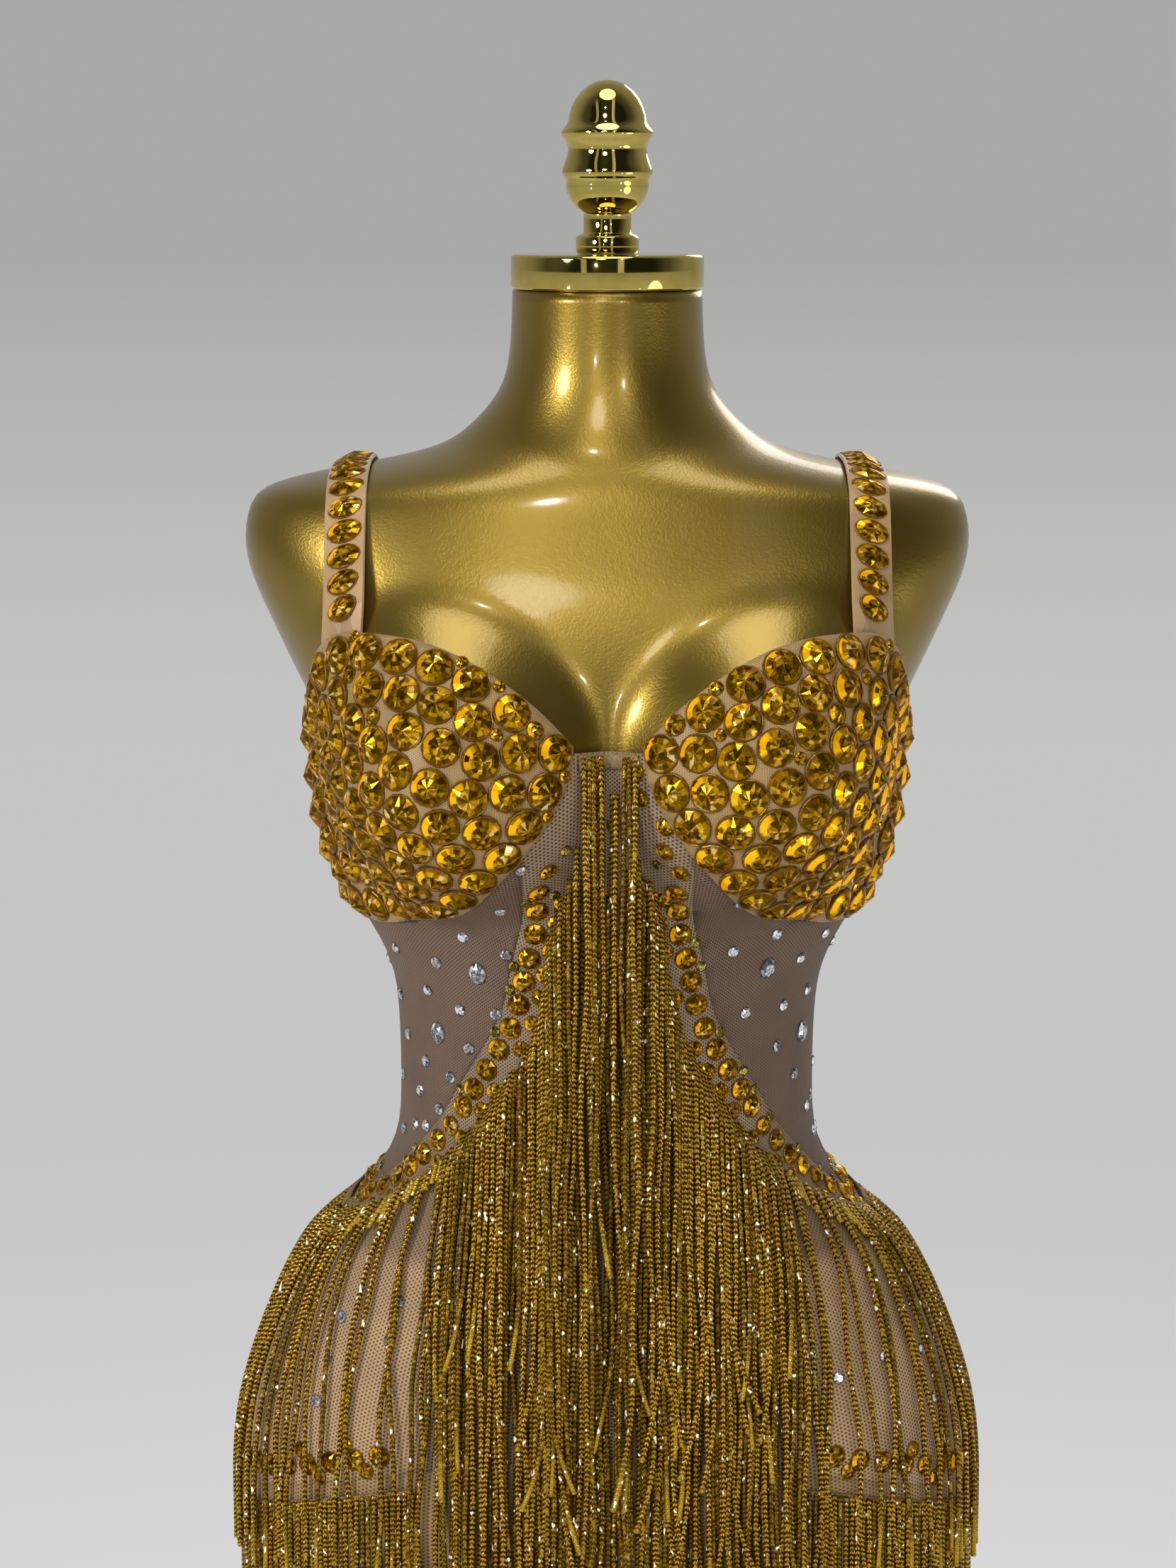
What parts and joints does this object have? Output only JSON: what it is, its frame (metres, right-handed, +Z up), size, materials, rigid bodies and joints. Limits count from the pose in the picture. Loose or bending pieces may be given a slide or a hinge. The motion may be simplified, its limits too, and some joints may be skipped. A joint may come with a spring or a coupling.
{
  "type": "bodycon dress on a limbless dress form",
  "caption": "Fitted stage dress with stone-covered cups, stone-set shoulder straps, mesh panels and long metallic fringe, shown on a limbless gold dress form on a round stand.",
  "frame": {"origin": "centre of the underside of the stand's round base", "axes": "+Z up, -Y towards the front of the dress, +X towards the wearer's left"},
  "size_m": [0.43, 0.43, 1.5803],
  "materials": {
    "gold_paint": "satin metallic gold paint on a moulded form",
    "polished_gold": "polished, gold plated",
    "cup_cover_and_stones": "nude mesh close-set with amber faceted stones",
    "front_net": "tan-brown stretch net",
    "waist_mesh": "mauve-nude fine power mesh",
    "hip_mesh": "peach-nude mesh",
    "skirt_mesh": "tan stretch mesh",
    "metallic_thread": "braided gold metallic thread"
  },
  "bodies": {
    "root": {"form_torso": "gold_paint", "neck_cap": "polished_gold", "finial": "polished_gold", "pole": "polished_gold", "base": "polished_gold", "cup_left": "cup_cover_and_stones", "cup_right": "cup_cover_and_stones", "strap_left": "cup_cover_and_stones", "strap_right": "cup_cover_and_stones", "front_centre": "front_net", "waist_left": "waist_mesh", "waist_right": "waist_mesh", "hip_left": "hip_mesh", "hip_right": "hip_mesh", "skirt_front": "skirt_mesh", "back_bodice": "waist_mesh", "hip_back": "hip_mesh", "skirt_back": "skirt_mesh", "fringe_left": "metallic_thread", "fringe_right": "metallic_thread", "fringe_centre": "metallic_thread", "fringe_back": "metallic_thread", "fringe_hip_left": "metallic_thread", "fringe_hip_right": "metallic_thread", "fringe_hip_back": "metallic_thread"}
  },
  "joints": []
}
